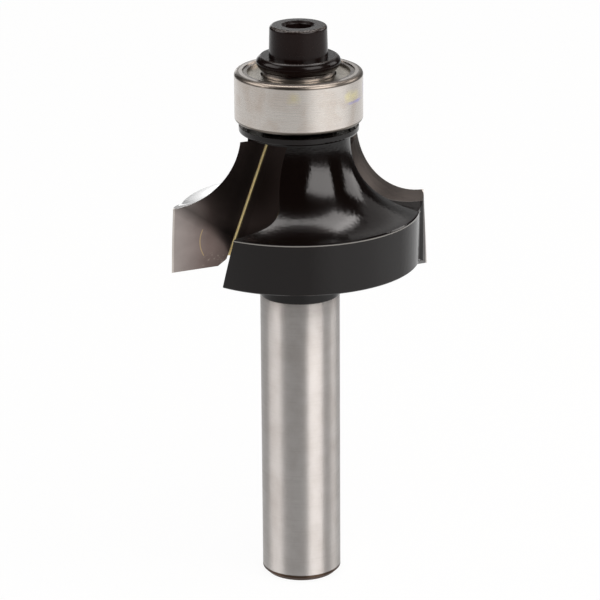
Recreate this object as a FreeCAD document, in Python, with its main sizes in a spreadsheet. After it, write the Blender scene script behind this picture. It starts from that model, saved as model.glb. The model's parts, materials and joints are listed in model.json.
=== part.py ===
import FreeCAD, Part
import math
import os
import Sketcher
from FreeCAD import Placement, Rotation, Vector

# Round-over router bit with two carbide tips and a ball-bearing guide.
# Millimetres. Origin at the middle of the shank's end, +Z up the axis towards the guide bearing.
# The tips lie towards -X and +X, and the cutter turns anticlockwise seen from the bearing.

doc = FreeCAD.newDocument("RouterBit")
sheet = doc.addObject("Spreadsheet::Sheet", "Sizes")

drivingSizes = [
    ("shankDiameter", 8.0, "straight shank for an 8 mm collet"),
    ("shankLength", 33.6, "shank's end to the underside of the round body"),
    ("shankChamfer", 0.42, "45 degree chamfer on the shank's end"),
    ("rimDiameter", 23.94, "round body at its rim"),
    ("rimBreak", 0.1, "broken edges of the rim"),
    ("cutDiameter", 25.7, "circle of the straight cutting edges"),
    ("roundRadius", 6.8, "radius that the tips cut"),
    ("edgeHeight", 7.2, "straight edge below the round"),
    ("edgeDrop", 1.05, "how far the tips reach below the round body"),
    ("coveGap", 0.95, "round body inside the cutting profile"),
    ("topDrop", 0.35, "tips' top below the centre of the round"),
    ("collarRise", 0.32, "collar's underside above the centre of the round"),
    ("collarDiameter", 11.9, "collar under the bearing"),
    ("collarHeight", 0.66, "thickness of the collar"),
    ("collarRadius", 0.25, "rounded lower edge of the collar"),
    ("bossStep", 0.25, "boss inside the inner ring's land"),
    ("bossHeight", 0.5, "running gap under the outer ring"),
    ("studLength", 4.6, "pilot stud inside the inner ring"),
    ("studFit", 0.01, "radial clearance of the inner ring on the stud"),
    ("tapDepth", 8.6, "tapped hole, from the top of the stud"),
    ("drillSlope", 31.0, "slope of the tapped hole's drilled point"),
    ("hookAngle", 18.6, "rake face turned from the radius at the cutting edge"),
    ("shearAngle", 13.8, "rake face leaned along the axis"),
    ("sideRelief", 11.0, "relief behind the edge, across the axis"),
    ("topRelief", 10.0, "relief behind the edge, along the axis"),
    ("footRelief", 20.0, "relief of the tips' lower end"),
    ("wingSweep", 30.0, "turn from the rake face to where the relieved steel sinks into the body"),
    ("tipThickness", 2.0, "carbide tip"),
    ("brazeThickness", 0.06, "filler behind a tip"),
    ("brazeSeam", 0.2, "filler along the inner edge of a tip"),
    ("rootDistance", 6.25, "inner edge of a tip from the axis plane, at its lower end"),
    ("rootLean", 13.8, "inner edge of a tip leaned towards the axis"),
    ("cornerWidth", 0.7, "cut lower inner corner of a tip, across"),
    ("cornerHeight", 0.85, "cut lower inner corner of a tip, up"),
    ("gulletWidth", 9.15, "chip space between the rake face and its far wall"),
    ("floorTurn", 4.0, "floor of the chip space, turned from square to the rake face"),
    ("gulletCorner", 2.0, "rounded corner between the floor and the far wall"),
    ("bearingDiameter", 12.7, "guide bearing, outside"),
    ("bearingBore", 4.7625, "guide bearing, bore"),
    ("bearingWidth", 4.978, "guide bearing, width"),
    ("outerCorner", 0.35, "rounded corners of the outer ring"),
    ("innerCorner", 0.15, "chamfered corners of the inner ring"),
    ("ballDiameter", 2.381, "ball"),
    ("ballCount", 7, "balls in the bearing"),
    ("raceClearance", 0.045, "groove's radius beyond the ball's radius"),
    ("grooveDepth", 0.39, "how far the lands of the rings reach around the balls"),
    ("shieldLedge", 0.39, "recess of the outer ring for a shield, beyond its land"),
    ("recessDepth", 0.55, "recess below the face of the outer ring"),
    ("shieldThickness", 0.2, "pressed steel shield"),
    ("shieldGap", 0.17, "shield's bore off the inner ring"),
    ("shieldFit", 0.02, "shield and snap ring inside the recess"),
    ("snapThickness", 0.25, "snap ring, along the axis"),
    ("snapWidth", 0.42, "snap ring, across"),
    ("snapGap", 1.3, "opening between the snap ring's ends"),
    ("snapTurn", 68.0, "where the snap rings open, turned from +X"),
    ("cageClearance", 0.375, "cage off the lands of the rings"),
    ("cageBack", 0.28, "cage behind the balls"),
    ("cageRise", 0.4, "cage's prongs above the ball centres"),
    ("pocketClearance", 0.06, "cage pocket's radius beyond the ball's radius"),
    ("washerDiameter", 8.34, "thick clamping washer"),
    ("washerStep", 0.15, "washer's foot inside the inner ring's land"),
    ("washerFace", 7.5, "flat top of the washer"),
    ("washerThickness", 1.52, "thickness of the washer"),
    ("washerBelly", 0.9, "height of the washer's widest line"),
    ("washerRound", 1.15, "radius of the washer's edge below that line"),
    ("washerBore", 3.3, "hole of the washer"),
    ("screwDiameter", 3.0, "cap screw's thread"),
    ("screwLength", 8.0, "cap screw under its head"),
    ("screwFit", 0.03, "tapped hole's radius beyond the screw's"),
    ("headDiameter", 5.84, "cap screw's head at its foot"),
    ("headTop", 5.68, "cap screw's head below its top edge"),
    ("headHeight", 3.05, "cap screw's head"),
    ("headEdge", 0.3, "rounded top edge of the head"),
    ("socketWidth", 2.5, "hexagon socket across flats"),
    ("socketDepth", 1.6, "depth of the socket"),
    ("socketMouth", 3.3, "countersunk mouth of the socket"),
    ("mouthDepth", 0.22, "depth of the countersink"),
]

for row, (alias, value, note) in enumerate(drivingSizes, start=1):
    sheet.set(f"A{row}", alias)
    sheet.set(f"B{row}", str(value))
    sheet.set(f"C{row}", note)
    sheet.setAlias(f"B{row}", alias)
doc.recompute()


def size(expression):
    return float(sheet.evalExpression(expression))


# Heights and radii that several pieces share, as expressions of the sheet's cells
edgeFoot = "(Sizes.shankLength - Sizes.edgeDrop)"
roundCentre = f"({edgeFoot} + Sizes.edgeHeight + Sizes.roundRadius)"
cutRadius = "(Sizes.cutDiameter / 2)"
rimRadius = "(Sizes.rimDiameter / 2)"
coveRadius = "(Sizes.roundRadius + Sizes.coveGap)"
rimTop = f"({roundCentre} - sqrt({coveRadius} * {coveRadius} - ({cutRadius} - {rimRadius})^2))"
collarFoot = f"({roundCentre} + Sizes.collarRise)"
collarTop = f"({collarFoot} + Sizes.collarHeight)"
bearingSeat = f"({collarTop} + Sizes.bossHeight)"
bearingMiddle = f"({bearingSeat} + Sizes.bearingWidth / 2)"
bearingTop = f"({bearingSeat} + Sizes.bearingWidth)"
headFoot = f"({bearingTop} + Sizes.washerThickness)"
studTop = f"({bearingSeat} + Sizes.studLength)"
ballRadius = "(Sizes.ballDiameter / 2)"
grooveRadius = f"({ballRadius} + Sizes.raceClearance)"
pitchRadius = "((Sizes.bearingDiameter + Sizes.bearingBore) / 4)"
innerLand = f"({pitchRadius} - {ballRadius} + Sizes.grooveDepth)"
outerLand = f"({pitchRadius} + {ballRadius} - Sizes.grooveDepth)"


def originPlane(body, role):
    return next(feature for feature in body.Origin.OriginFeatures if feature.Role == role)


def arcBetween(start, end, radius, side):
    # side is +1 where the arc's centre lies to the left of the way from start to end
    chord = end - start
    across = Vector(-chord.y, chord.x, 0).normalize()
    rise = math.sqrt(max(radius ** 2 - (chord.Length / 2) ** 2, 0))
    centre = (start + end) / 2 + across * (side * rise)
    first = math.atan2(start.y - centre.y, start.x - centre.x)
    last = math.atan2(end.y - centre.y, end.x - centre.x)
    circle = Part.Circle(centre, Vector(0, 0, 1), radius)
    if side > 0:
        return Part.ArcOfCircle(circle, first, last)
    return Part.ArcOfCircle(circle, last, first)


def drawProfile(sketch, corners, arcs=None):
    # corners are pairs of expressions; arcs gives radius and side for the edge that starts at a corner
    arcs = arcs or {}
    places = [Vector(size(x), size(y), 0) for x, y in corners]
    ends = []
    for index, place in enumerate(places):
        following = places[(index + 1) % len(places)]
        if index in arcs:
            radius, side = arcs[index]
            sketch.addGeometry(arcBetween(place, following, size(radius), side))
            ends.append((1, 2) if side > 0 else (2, 1))
        else:
            sketch.addGeometry(Part.LineSegment(place, following))
            ends.append((1, 2))
    for index in range(len(corners)):
        following = (index + 1) % len(corners)
        sketch.addConstraint(
            Sketcher.Constraint("Coincident", index, ends[index][1], following, ends[following][0])
        )
    for index, expressions in enumerate(corners):
        for kind, axis, expression in zip(("DistanceX", "DistanceY"), (-2, -1), expressions):
            point = ends[index][0]
            if expression == "0":
                sketch.addConstraint(Sketcher.Constraint("PointOnObject", index, point, axis))
                continue
            number = sketch.addConstraint(
                Sketcher.Constraint(kind, -1, 1, index, point, size(expression))
            )
            sketch.setExpression(f"Constraints[{number}]", expression)
        if index in arcs:
            number = sketch.addConstraint(
                Sketcher.Constraint("Radius", index, size(arcs[index][0]))
            )
            sketch.setExpression(f"Constraints[{number}]", arcs[index][0])


def newSketch(body, name, role):
    sketch = body.newObject("Sketcher::SketchObject", name)
    sketch.AttachmentSupport = [(originPlane(body, role), "")]
    sketch.MapMode = "FlatFace"
    return sketch


def turnedBody(label, corners, arcs=None):
    body = doc.addObject("PartDesign::Body", label)
    sketch = newSketch(body, label + "_profile", "XZ_Plane")
    drawProfile(sketch, corners, arcs)
    turning = body.newObject("PartDesign::Revolution", label + "_turning")
    turning.Profile = sketch
    turning.ReferenceAxis = (sketch, ["V_Axis"])
    turning.Angle = 360
    body.Tip = turning
    doc.recompute()
    return body


# Steel blank as turned: shank, round body with its cove, collar, boss and pilot stud with a tapped hole
shankRadius = "(Sizes.shankDiameter / 2)"
collarRadius = "(Sizes.collarDiameter / 2)"
studRadius = "(Sizes.bearingBore / 2 - Sizes.studFit)"
tapRadius = "(Sizes.screwDiameter / 2 + Sizes.screwFit)"
tapFoot = f"({studTop} - Sizes.tapDepth)"
tapPoint = f"({tapFoot} - {tapRadius} * tan(Sizes.drillSlope * 1 deg))"
neckRadius = f"({cutRadius} - {coveRadius})"
bossRadius = f"({innerLand} - Sizes.bossStep)"
brokenRimTop = (
    f"({roundCentre} - sqrt({coveRadius} * {coveRadius}"
    f" - ({cutRadius} - {rimRadius} + Sizes.rimBreak)^2))"
)
blank = turnedBody(
    "turned_blank",
    [
        ("0", "0"),
        (f"{shankRadius} - Sizes.shankChamfer", "0"),
        (shankRadius, "Sizes.shankChamfer"),
        (shankRadius, "Sizes.shankLength"),
        (f"{rimRadius} - Sizes.rimBreak", "Sizes.shankLength"),
        (rimRadius, "Sizes.shankLength + Sizes.rimBreak"),
        (rimRadius, f"{rimTop} - Sizes.rimBreak"),
        (f"{rimRadius} - Sizes.rimBreak", brokenRimTop),
        (neckRadius, roundCentre),
        (neckRadius, collarFoot),
        (f"{collarRadius} - Sizes.collarRadius", collarFoot),
        (collarRadius, f"{collarFoot} + Sizes.collarRadius"),
        (collarRadius, collarTop),
        (bossRadius, collarTop),
        (bossRadius, bearingSeat),
        (studRadius, bearingSeat),
        (studRadius, studTop),
        (tapRadius, studTop),
        (tapRadius, tapFoot),
        ("0", tapPoint),
    ],
    {7: (coveRadius, -1), 10: ("Sizes.collarRadius", 1)},
)


# The cutting wings. A rake plane is parallel to X, stands off the axis by the hook and leans by the
# shear. The outline of a wing is where that plane meets the turned cutting profile. Behind the rake
# face the outline turns about the axis, and the relief brings it in and down.
tanShear = math.tan(math.radians(size("Sizes.shearAngle")))
tanLean = math.tan(math.radians(size("Sizes.rootLean")))
footHeight = size(edgeFoot)
centreHeight = size(roundCentre)
cutting = size(cutRadius)
rounding = size("Sizes.roundRadius")
hook = math.radians(size("Sizes.hookAngle"))
rakeOffset = cutting * math.sin(hook)
edgeSteps = 4
roundSteps = 10
sweepSteps = 5


def rakePoint(radius, height):
    y = rakeOffset - (height - footHeight) * tanShear
    return Vector(-math.sqrt(radius ** 2 - y ** 2), y, height)


def rootPoint(height):
    x = -size("Sizes.rootDistance") + (height - footHeight) * tanLean
    return Vector(x, rakeOffset - (height - footHeight) * tanShear, height)


def throughPoints(points):
    curve = Part.BSplineCurve()
    curve.interpolate(points)
    return curve.toShape()


def wingSection(turn):
    behind = cutting * math.radians(turn)
    drop = behind * math.tan(math.radians(size("Sizes.topRelief")))
    inward = behind * math.tan(math.radians(size("Sizes.sideRelief")))
    rise = behind * math.tan(math.radians(size("Sizes.footRelief")))
    shift = Vector(math.cos(hook), -math.sin(hook), 0) * inward - Vector(0, 0, drop)
    backwards = Rotation(Vector(0, 0, 1), -turn)
    foot = footHeight + rise + drop
    straightTop = centreHeight - rounding
    edge = []
    for step in range(edgeSteps + 1):
        height = foot + (straightTop - foot) * step / edgeSteps
        edge.append(rakePoint(cutting, height))
    lastAngle = math.acos(size("Sizes.topDrop") / rounding)
    cove = []
    for step in range(roundSteps + 1):
        angle = lastAngle * step / roundSteps
        radius = cutting - rounding * math.sin(angle)
        cove.append(rakePoint(radius, centreHeight - rounding * math.cos(angle)))
    root = [rootPoint(cove[-1].z), rootPoint(foot)]
    edge, cove, root = (
        [backwards.multVec(point + shift) for point in points] for points in (edge, cove, root)
    )
    return Part.Wire([
        throughPoints(edge),
        throughPoints(cove),
        Part.makeLine(cove[-1], root[0]),
        Part.makeLine(root[0], root[1]),
        Part.makeLine(root[1], edge[0]),
    ])


wing = doc.addObject("Part::Feature", "relieved_wing")
sweep = size("Sizes.wingSweep")
wingSections = [wingSection(sweep * step / sweepSteps) for step in range(sweepSteps + 1)]
wingLoft = Part.makeLoft(wingSections, True, True)
wing.Shape = wingLoft if wingLoft.Volume > 0 else wingLoft.reversed()

# Prisms that lean along a tip's inner edge, for the chip space, the seat and the tip. They start
# a margin below the cutting edges, and toolX, toolY is where the inner edge meets that level.
toolMargin = 1.0
toolFoot = f"({edgeFoot} - {toolMargin})"
toolHeight = f"({roundCentre} - {toolFoot})"
toolReach = "Sizes.cutDiameter"
leanCell = "tan(Sizes.rootLean * 1 deg)"
shearCell = "tan(Sizes.shearAngle * 1 deg)"
toolX = f"(-(Sizes.rootDistance + {toolMargin} * {leanCell}))"
toolY = f"({cutRadius} * sin(Sizes.hookAngle * 1 deg) + {toolMargin} * {shearCell})"


def leanedTool(label, corners):
    # corners are pairs of expressions, in the level plane below the cutting edges
    outline = doc.addObject("Part::Polygon", label + "_outline")
    outline.Nodes = [Vector(size(x), size(y), size(toolFoot)) for x, y in corners]
    outline.Close = True
    tool = doc.addObject("Part::Extrusion", label)
    tool.Base = outline
    tool.DirMode = "Custom"
    tool.setExpression("Dir.x", leanCell)
    tool.setExpression("Dir.y", f"-{shearCell}")
    tool.Dir = Vector(tanLean, -tanShear, 1)
    tool.setExpression("LengthFwd", f"{toolHeight} * sqrt(1 + {leanCell}^2 + {shearCell}^2)")
    tool.Solid = True
    return tool


# The chip space is a slot: its floor starts at the tip's inner edge, nearly square to the rake face,
# and its far wall is parallel to that face, with a rounded corner between the two
wallX = f"({toolX} - Sizes.gulletWidth * tan(Sizes.floorTurn * 1 deg))"
wallY = f"({toolY} - Sizes.gulletWidth)"
slot = leanedTool(
    "gullet_slot",
    [(toolX, toolY), (wallX, wallY), (f"{toolX} - {toolReach}", wallY), (f"{toolX} - {toolReach}", toolY)],
)
doc.recompute()
slotCorner = Vector(size(wallX), size(wallY), size(toolFoot))
slotEdges = [
    number for number, edge in enumerate(slot.Shape.Edges, start=1)
    if min(vertex.Point.distanceToPoint(slotCorner) for vertex in edge.Vertexes) < toolMargin / 10
    and max(vertex.Z for vertex in edge.Vertexes) > slotCorner.z + toolMargin
]
gullet = doc.addObject("Part::Fillet", "gullet")
gullet.Base = slot
gullet.Edges = [(number, size("Sizes.gulletCorner"), size("Sizes.gulletCorner")) for number in slotEdges]
tipFront = f"({toolY} - Sizes.tipThickness)"
tipBack = f"({toolY} + Sizes.tipThickness)"
seatBack = f"({toolY} + Sizes.tipThickness + Sizes.brazeThickness)"
seat = leanedTool(
    "tip_seat",
    [(toolX, tipFront), (f"{toolX} - {toolReach}", tipFront),
     (f"{toolX} - {toolReach}", seatBack), (toolX, seatBack)],
)
plate = leanedTool(
    "tip_plate",
    [(f"{toolX} - Sizes.brazeSeam", tipFront), (f"{toolX} - {toolReach}", tipFront),
     (f"{toolX} - {toolReach}", tipBack), (f"{toolX} - Sizes.brazeSeam", tipBack)],
)
cornerOut = "(-(Sizes.rootDistance + Sizes.brazeSeam + Sizes.cornerWidth))"
cornerMeets = f"(Sizes.cornerHeight * {leanCell} - Sizes.rootDistance)"
cornerIn = f"({cornerMeets} + {toolMargin})"
cornerHigh = (
    f"({edgeFoot} + Sizes.cornerHeight * ({cornerIn} - {cornerOut}) / ({cornerMeets} - {cornerOut}))"
)
cornerOutline = doc.addObject("Part::Polygon", "corner_outline")
cornerOutline.Nodes = [
    Vector(size(x), 0, size(z))
    for x, z in ((cornerIn, cornerHigh), (cornerIn, toolFoot), (cornerOut, toolFoot), (cornerOut, edgeFoot))
]
cornerOutline.Close = True
corner = doc.addObject("Part::Extrusion", "cut_corner")
corner.Base = cornerOutline
corner.DirMode = "Custom"
corner.Dir = Vector(0, 1, 0)
corner.setExpression("LengthFwd", seatBack)
corner.Solid = True
doc.recompute()


def joined(kind, label, first, others):
    result = doc.addObject(f"Part::{kind}", label)
    if kind in ("MultiFuse", "MultiCommon"):
        result.Shapes = [first] + others
    else:
        result.Base = first
        result.Tool = others[0]
    return result


def halfTurned(label, source):
    copy = doc.addObject("Part::Feature", label)
    copy.Shape = source.Shape
    copy.Placement = Placement(Vector(), Rotation(Vector(0, 0, 1), 180)).multiply(source.Placement)
    return copy


# Only the carbide reaches below the round body: the steel behind it ends at the body's underside
underside = doc.addObject("Part::Cylinder", "under_the_body")
underside.setExpression("Radius", "Sizes.cutDiameter")
underside.setExpression("Placement.Base.z", toolFoot)
underside.setExpression("Height", f"Sizes.shankLength - {toolFoot}")
wingSteel = joined("Cut", "wing_steel", wing, [underside])

# Carbide tips, and the thin filler behind each and along its inner edge
rawTip = joined("MultiCommon", "raw_tip", wing, [plate])
carbideTip = joined("Cut", "carbide_tip_1", rawTip, [corner])
rawBraze = joined("MultiCommon", "raw_braze", wingSteel, [seat])
openBraze = joined("Cut", "open_braze", rawBraze, [plate])
brazeLayer = joined("Cut", "braze_1", openBraze, [corner])
doc.recompute()
secondTip = halfTurned("carbide_tip_2", carbideTip)
secondBraze = halfTurned("braze_2", brazeLayer)

# Round body with both wings, less the chip spaces and the seats
doc.recompute()
winged = joined("MultiFuse", "winged_blank", blank, [wingSteel, halfTurned("wing_steel_turned", wingSteel)])
chipCuts = joined(
    "MultiFuse", "chip_cuts", gullet,
    [seat, halfTurned("gullet_turned", gullet), halfTurned("tip_seat_turned", seat)],
)
cutterBody = joined("Cut", "cutter_body", winged, [chipCuts])
doc.recompute()

# Guide bearing: rings with their grooves
grooveHalf = f"sqrt({grooveRadius}^2 - ({ballRadius} - Sizes.grooveDepth)^2)"
boreRadius = "(Sizes.bearingBore / 2)"
innerRing = turnedBody(
    "bearing_inner_ring",
    [
        (boreRadius, f"{bearingSeat} + Sizes.innerCorner"),
        (f"{boreRadius} + Sizes.innerCorner", bearingSeat),
        (f"{innerLand} - Sizes.innerCorner", bearingSeat),
        (innerLand, f"{bearingSeat} + Sizes.innerCorner"),
        (innerLand, f"{bearingMiddle} - {grooveHalf}"),
        (innerLand, f"{bearingMiddle} + {grooveHalf}"),
        (innerLand, f"{bearingTop} - Sizes.innerCorner"),
        (f"{innerLand} - Sizes.innerCorner", bearingTop),
        (f"{boreRadius} + Sizes.innerCorner", bearingTop),
        (boreRadius, f"{bearingTop} - Sizes.innerCorner"),
    ],
    {4: (grooveRadius, -1)},
)
outerRadius = "(Sizes.bearingDiameter / 2)"
recessRadius = f"({outerLand} + Sizes.shieldLedge)"
lipShare = 0.8
ringCorner = f"min(Sizes.outerCorner; {lipShare} * ({outerRadius} - {recessRadius}))"
lowerRecess = f"({bearingSeat} + Sizes.recessDepth)"
upperRecess = f"({bearingTop} - Sizes.recessDepth)"
outerRing = turnedBody(
    "bearing_outer_ring",
    [
        (recessRadius, bearingSeat),
        (f"{outerRadius} - {ringCorner}", bearingSeat),
        (outerRadius, f"{bearingSeat} + {ringCorner}"),
        (outerRadius, f"{bearingTop} - {ringCorner}"),
        (f"{outerRadius} - {ringCorner}", bearingTop),
        (recessRadius, bearingTop),
        (recessRadius, upperRecess),
        (outerLand, upperRecess),
        (outerLand, f"{bearingMiddle} + {grooveHalf}"),
        (outerLand, f"{bearingMiddle} - {grooveHalf}"),
        (outerLand, lowerRecess),
        (recessRadius, lowerRecess),
    ],
    {1: (ringCorner, 1), 3: (ringCorner, 1), 8: (grooveRadius, -1)},
)

# Shields and the split snap rings that hold them
shieldInner = f"({innerLand} + Sizes.shieldGap)"
shieldOuter = f"({recessRadius} - Sizes.shieldFit)"
shieldSides = {
    "lower": (lowerRecess, -1),
    "upper": (upperRecess, 1),
}
shields = []
snapRings = []
for side, (face, outward) in shieldSides.items():
    shieldFace = f"({face} + {outward} * Sizes.shieldThickness)"
    snapFace = f"({shieldFace} + {outward} * Sizes.snapThickness)"
    low, high = (face, shieldFace) if outward > 0 else (shieldFace, face)
    shields.append(turnedBody(
        f"bearing_shield_{side}",
        [(shieldInner, low), (shieldOuter, low), (shieldOuter, high), (shieldInner, high)],
    ))
    low, high = (shieldFace, snapFace) if outward > 0 else (snapFace, shieldFace)
    snapInner = f"({shieldOuter} - Sizes.snapWidth)"
    ring = turnedBody(
        f"snap_ring_{side}",
        [(snapInner, low), (shieldOuter, low), (shieldOuter, high), (snapInner, high)],
    )
    gapSketch = newSketch(ring, f"snap_gap_{side}", "XY_Plane")
    drawProfile(gapSketch, [
        ("0", "-Sizes.snapGap / 2"),
        (outerRadius, "-Sizes.snapGap / 2"),
        (outerRadius, "Sizes.snapGap / 2"),
        ("0", "Sizes.snapGap / 2"),
    ])
    gapSketch.setExpression("AttachmentOffset.Base.z", low)
    gapSketch.setExpression("AttachmentOffset.Rotation.Angle", "Sizes.snapTurn * 1 deg")
    before = ring.Shape.Volume
    gapCut = ring.newObject("PartDesign::Pocket", f"snap_opening_{side}")
    gapCut.Profile = gapSketch
    gapCut.Type = "ThroughAll"
    gapCut.Reversed = True
    ring.Tip = gapCut
    doc.recompute()
    if not ring.Shape.Volume < before:
        raise RuntimeError(f"the opening of the {side} snap ring cuts nothing")
    snapRings.append(ring)

# Crown cage: a ring behind the balls with a pocket round each
cageInner = f"({innerLand} + Sizes.cageClearance)"
cageOuter = f"({outerLand} - Sizes.cageClearance)"
cageFoot = f"({bearingMiddle} - {grooveRadius} - Sizes.cageBack)"
cageTop = f"({bearingMiddle} + Sizes.cageRise)"
cage = turnedBody(
    "bearing_cage",
    [(cageInner, cageFoot), (cageOuter, cageFoot), (cageOuter, cageTop), (cageInner, cageTop)],
)
pocket = cage.newObject("PartDesign::SubtractiveSphere", "cage_pocket")
pocket.setExpression("Radius", f"{ballRadius} + Sizes.pocketClearance")
pocket.AttachmentSupport = [(originPlane(cage, "XY_Plane"), "")]
pocket.MapMode = "FlatFace"
pocket.setExpression("AttachmentOffset.Base.x", pitchRadius)
pocket.setExpression("AttachmentOffset.Base.z", bearingMiddle)
doc.recompute()
pockets = cage.newObject("PartDesign::PolarPattern", "cage_pockets")
pockets.Originals = [pocket]
pockets.Axis = (originPlane(cage, "Z_Axis"), [""])
pockets.Angle = 360
pockets.setExpression("Occurrences", "Sizes.ballCount")
cage.Tip = pockets
doc.recompute()

balls = []
for number in range(int(size("Sizes.ballCount"))):
    ball = doc.addObject("Part::Sphere", f"bearing_ball_{number + 1}")
    ball.setExpression("Radius", ballRadius)
    turn = f"{number} * 360 deg / Sizes.ballCount"
    ball.setExpression("Placement.Base.x", f"{pitchRadius} * cos({turn})")
    ball.setExpression("Placement.Base.y", f"{pitchRadius} * sin({turn})")
    ball.setExpression("Placement.Base.z", bearingMiddle)
    balls.append(ball)

# Thick washer with a full round edge, and the socket cap screw that clamps it
washerOuter = "(Sizes.washerDiameter / 2)"
bellyHeight = f"({bearingTop} + Sizes.washerBelly)"
washer = turnedBody(
    "bearing_washer",
    [
        ("Sizes.washerBore / 2", bearingTop),
        (f"{innerLand} - Sizes.washerStep", bearingTop),
        (washerOuter, bellyHeight),
        ("Sizes.washerFace / 2", headFoot),
        ("Sizes.washerBore / 2", headFoot),
    ],
    {
        1: ("Sizes.washerRound", 1),
        2: ("(Sizes.washerThickness - Sizes.washerBelly)", 1),
    },
)
headFootRadius = "(Sizes.headDiameter / 2)"
headTopRadius = "(Sizes.headTop / 2)"
headTopHeight = f"({headFoot} + Sizes.headHeight)"
capScrew = turnedBody(
    "cap_screw",
    [
        ("0", f"{headFoot} - Sizes.screwLength"),
        ("Sizes.screwDiameter / 2 - Sizes.headEdge", f"{headFoot} - Sizes.screwLength"),
        ("Sizes.screwDiameter / 2", f"{headFoot} - Sizes.screwLength + Sizes.headEdge"),
        ("Sizes.screwDiameter / 2", headFoot),
        (headFootRadius, headFoot),
        (headTopRadius, f"{headTopHeight} - Sizes.headEdge"),
        (f"{headTopRadius} - Sizes.headEdge", headTopHeight),
        ("Sizes.socketMouth / 2", headTopHeight),
        ("Sizes.socketMouth / 2 - Sizes.mouthDepth", f"{headTopHeight} - Sizes.mouthDepth"),
        ("0", f"{headTopHeight} - Sizes.mouthDepth"),
    ],
    {5: ("Sizes.headEdge", 1)},
)
hexagon = newSketch(capScrew, "socket_outline", "XY_Plane")
hexagonCorner = "(Sizes.socketWidth / 2 / cos(30 deg))"
drawProfile(hexagon, [
    (f"{hexagonCorner} * cos({60 * corner} deg)", f"{hexagonCorner} * sin({60 * corner} deg)")
    if corner % 3 else (f"{hexagonCorner} * cos({60 * corner} deg)", "0")
    for corner in range(6)
])
hexagon.setExpression("AttachmentOffset.Base.z", f"{headTopHeight} - Sizes.mouthDepth")
before = capScrew.Shape.Volume
socket = capScrew.newObject("PartDesign::Pocket", "hexagon_socket")
socket.Profile = hexagon
socket.setExpression("Length", "Sizes.socketDepth - Sizes.mouthDepth")
capScrew.Tip = socket
doc.recompute()
if not capScrew.Shape.Volume < before:
    raise RuntimeError("the hexagon socket cuts nothing")

subParts = [cutterBody, carbideTip, secondTip, brazeLayer, secondBraze, innerRing, outerRing]
subParts += shields + snapRings + [cage] + balls + [washer, capScrew]

for item in doc.Objects:
    for fault in ("Invalid", "Error"):
        if fault in item.State:
            raise RuntimeError(f"{item.Label} is {fault}")
for item in subParts:
    if item.Shape.isNull() or not item.Shape.isValid() or item.Shape.Volume <= 0:
        raise RuntimeError(f"{item.Label} has no valid solid")

os.makedirs("parts", exist_ok=True)
for item in subParts:
    item.Shape.exportStep(f"parts/{item.Label}.step")
    print(item.Label, len(item.Shape.Solids), round(item.Shape.Volume, 3))
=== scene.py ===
import json
import math

import bpy
from mathutils import Euler, Matrix, Vector

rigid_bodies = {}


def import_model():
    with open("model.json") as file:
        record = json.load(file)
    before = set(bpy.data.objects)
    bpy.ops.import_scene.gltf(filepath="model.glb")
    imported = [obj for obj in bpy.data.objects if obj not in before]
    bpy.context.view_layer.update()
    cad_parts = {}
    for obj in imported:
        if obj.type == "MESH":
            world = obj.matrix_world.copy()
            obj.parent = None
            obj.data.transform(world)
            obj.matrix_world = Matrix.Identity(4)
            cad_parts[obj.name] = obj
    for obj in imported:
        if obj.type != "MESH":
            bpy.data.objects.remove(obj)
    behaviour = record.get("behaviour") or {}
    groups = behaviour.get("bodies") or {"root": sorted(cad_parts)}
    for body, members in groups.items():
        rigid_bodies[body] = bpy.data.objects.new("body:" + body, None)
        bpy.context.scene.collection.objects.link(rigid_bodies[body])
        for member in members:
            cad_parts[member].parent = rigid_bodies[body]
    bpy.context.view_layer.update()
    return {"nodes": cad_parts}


# Round-over router bit: materials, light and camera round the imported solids. Metres, Z up the axis.

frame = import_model()
nodes = frame["nodes"]
mm = 0.001
print("loaded", len(nodes), "pieces")


def linearColour(code):
    channels = [int(code[start:start + 2], 16) / 255 for start in (0, 2, 4)]
    toLinear = [c / 12.92 if c <= 0.04045 else ((c + 0.055) / 1.055) ** 2.4 for c in channels]
    return (*toLinear, 1.0)


def addNode(tree, kind, settings=None, links=None):
    node = tree.nodes.new("ShaderNode" + kind)
    for name, value in (settings or {}).items():
        if isinstance(name, int) or name in node.inputs:
            node.inputs[name].default_value = value
        else:
            setattr(node, name, value)
    for socket, source in (links or {}).items():
        tree.links.new(source.outputs[0] if isinstance(source, bpy.types.Node) else source, node.inputs[socket])
    return node


def newMaterial(name):
    # The place is where a point lies on the piece, in metres from the foot of the axis
    material = bpy.data.materials.new(name)
    material.use_nodes = True
    tree = material.node_tree
    tree.nodes.clear()
    place = addNode(tree, "TexCoord").outputs["Object"]
    return material, tree, place


def finishMaterial(tree, shader):
    addNode(tree, "OutputMaterial", links={"Surface": shader})


def dress(material, *names):
    for name in names:
        slots = nodes[name].material_slots
        if not slots:
            nodes[name].data.materials.append(material)
        for slot in slots:
            slot.link = "OBJECT"
            slot.material = material


noiseLow, noiseHigh = 0.3, 0.7  # nearly all values of a noise texture lie between these
quarterTurn = 0.25              # turns the stretch of reflections across lines that run round the axis


def distanceFromAxis(tree, place):
    flat = addNode(tree, "VectorMath", {"operation": "MULTIPLY", 1: (1, 1, 0)}, {0: place})
    return addNode(tree, "VectorMath", {"operation": "LENGTH"}, {0: flat}).outputs["Value"]


# The rake plane of both wings, for what depends on the depth behind it: |y| + lean * z = plane
rake = {
    "lean": 0.2456,
    "plane": 12.094,           # mm
}


def behindRake(tree, place, start, end):
    # 0 nearer the rake face than start, 1 past end, in mm
    folded = addNode(tree, "VectorMath", {"operation": "ABSOLUTE"}, {0: place})
    depth = addNode(tree, "VectorMath", {"operation": "DOT_PRODUCT", 1: (0, 1, rake["lean"])}, {0: folded})
    return addNode(
        tree, "MapRange",
        {"From Min": (rake["plane"] + start) * mm, "From Max": (rake["plane"] + end) * mm},
        {"Value": depth.outputs["Value"]},
    )


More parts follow.
